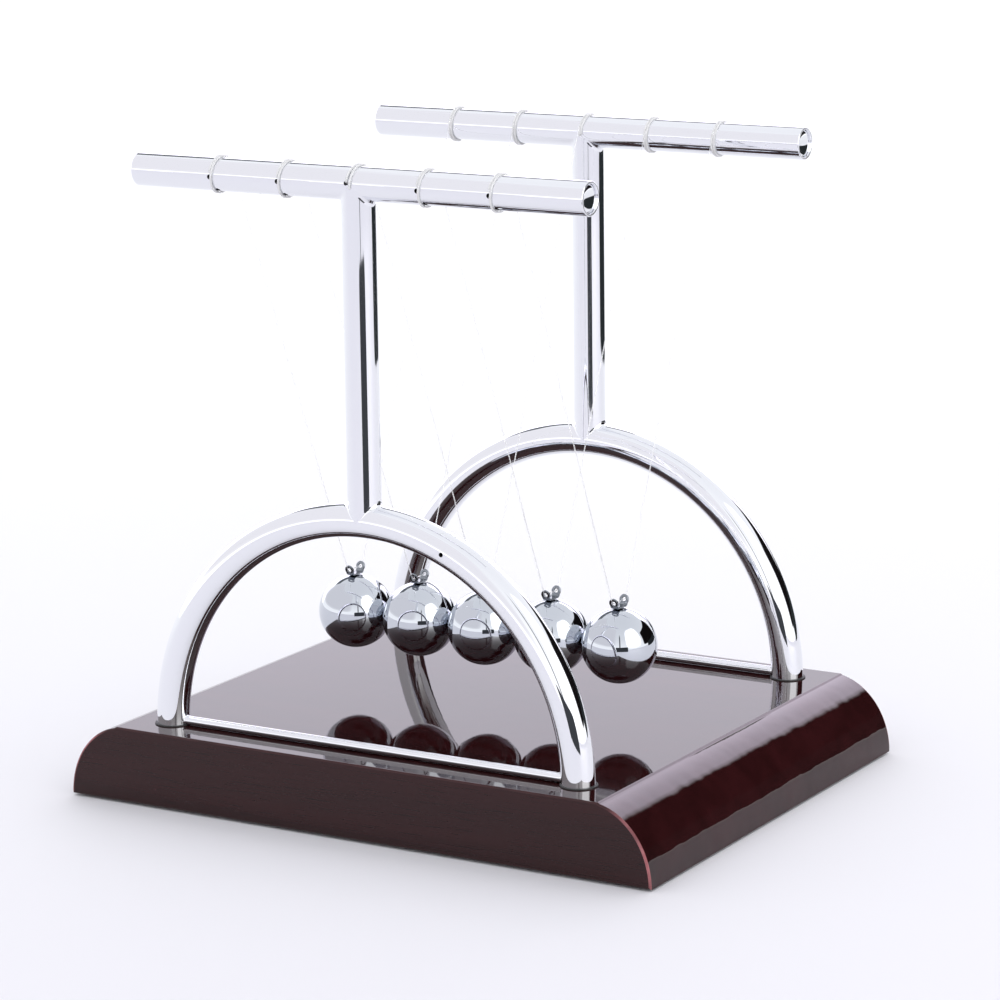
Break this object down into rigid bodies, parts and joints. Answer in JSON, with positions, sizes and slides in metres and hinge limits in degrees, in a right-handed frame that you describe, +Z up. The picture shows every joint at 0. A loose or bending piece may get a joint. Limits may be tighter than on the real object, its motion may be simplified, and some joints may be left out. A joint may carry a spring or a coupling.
{
  "type": "newtons cradle",
  "caption": "Desk toy with a row of chrome balls hung on V-shaped nylon threads from two chrome tube frames, on a dark red lacquered wooden base with rolled ends.",
  "frame": {"origin": "middle of the object's footprint, on the surface that the felt pads stand on", "axes": "+X along the row of balls from the first ball to the fifth, -Y towards the front frame, +Z up"},
  "size_m": [0.173, 0.137, 0.1712],
  "materials": {
    "lacquered_wood": "dark red-brown, high-gloss lacquer",
    "chrome_tube": "bright chrome plate on steel tube",
    "chrome_ball": "mirror-polished chrome",
    "zinc_steel": "zinc-plated fixings, satin",
    "black_rubber": "matt black",
    "black_felt": "black felt",
    "nylon_line": "clear nylon monofilament"
  },
  "bodies": {
    "stand": {"base": "lacquered_wood", "foot_pad_front_left": "black_felt", "foot_pad_front_right": "black_felt", "foot_pad_rear_left": "black_felt", "foot_pad_rear_right": "black_felt", "leg_seat_front_left": "black_rubber", "leg_seat_front_right": "black_rubber", "leg_seat_rear_left": "black_rubber", "leg_seat_rear_right": "black_rubber", "leg_insert_front_left": "zinc_steel", "leg_insert_front_right": "zinc_steel", "leg_insert_rear_left": "zinc_steel", "leg_insert_rear_right": "zinc_steel", "leg_screw_front_left": "zinc_steel", "leg_screw_front_right": "zinc_steel", "leg_screw_rear_left": "zinc_steel", "leg_screw_rear_right": "zinc_steel", "leg_washer_front_left": "zinc_steel", "leg_washer_front_right": "zinc_steel", "leg_washer_rear_left": "zinc_steel", "leg_washer_rear_right": "zinc_steel", "front_arch": "chrome_tube", "front_post": "chrome_tube", "front_bar": "chrome_tube", "front_tie_rod": "chrome_tube", "front_plug_left": "chrome_tube", "front_plug_right": "chrome_tube", "front_winding_1": "nylon_line", "front_winding_2": "nylon_line", "front_winding_3": "nylon_line", "front_winding_4": "nylon_line", "front_winding_5": "nylon_line", "rear_arch": "chrome_tube", "rear_post": "chrome_tube", "rear_bar": "chrome_tube", "rear_tie_rod": "chrome_tube", "rear_plug_left": "chrome_tube", "rear_plug_right": "chrome_tube", "rear_winding_1": "nylon_line", "rear_winding_2": "nylon_line", "rear_winding_3": "nylon_line", "rear_winding_4": "nylon_line", "rear_winding_5": "nylon_line"},
    "pendulum_1": {"ball_1": "chrome_ball", "clip_1": "chrome_tube", "thread_1": "nylon_line"},
    "pendulum_2": {"ball_2": "chrome_ball", "clip_2": "chrome_tube", "thread_2": "nylon_line"},
    "pendulum_3": {"ball_3": "chrome_ball", "clip_3": "chrome_tube", "thread_3": "nylon_line"},
    "pendulum_4": {"ball_4": "chrome_ball", "clip_4": "chrome_tube", "thread_4": "nylon_line"},
    "pendulum_5": {"ball_5": "chrome_ball", "clip_5": "chrome_tube", "thread_5": "nylon_line"}
  },
  "joints": [
    {"name": "ball_1_swing", "type": "hinge", "parent": "stand", "child": "pendulum_1", "pos_m": [-0.0406, 0, 0.16798], "axis": [0, -1, 0], "range_deg": [-60, 0]},
    {"name": "ball_2_swing", "type": "hinge", "parent": "stand", "child": "pendulum_2", "pos_m": [-0.0203, 0, 0.16798], "axis": [0, -1, 0], "range_deg": [-0.1, 0.1]},
    {"name": "ball_3_swing", "type": "hinge", "parent": "stand", "child": "pendulum_3", "pos_m": [0, 0, 0.16798], "axis": [0, -1, 0], "range_deg": [-0.1, 0.1]},
    {"name": "ball_4_swing", "type": "hinge", "parent": "stand", "child": "pendulum_4", "pos_m": [0.0203, 0, 0.16798], "axis": [0, -1, 0], "range_deg": [-0.1, 0.1]},
    {"name": "ball_5_swing", "type": "hinge", "parent": "stand", "child": "pendulum_5", "pos_m": [0.0406, 0, 0.16798], "axis": [0, -1, 0], "range_deg": [0, 60]}
  ]
}
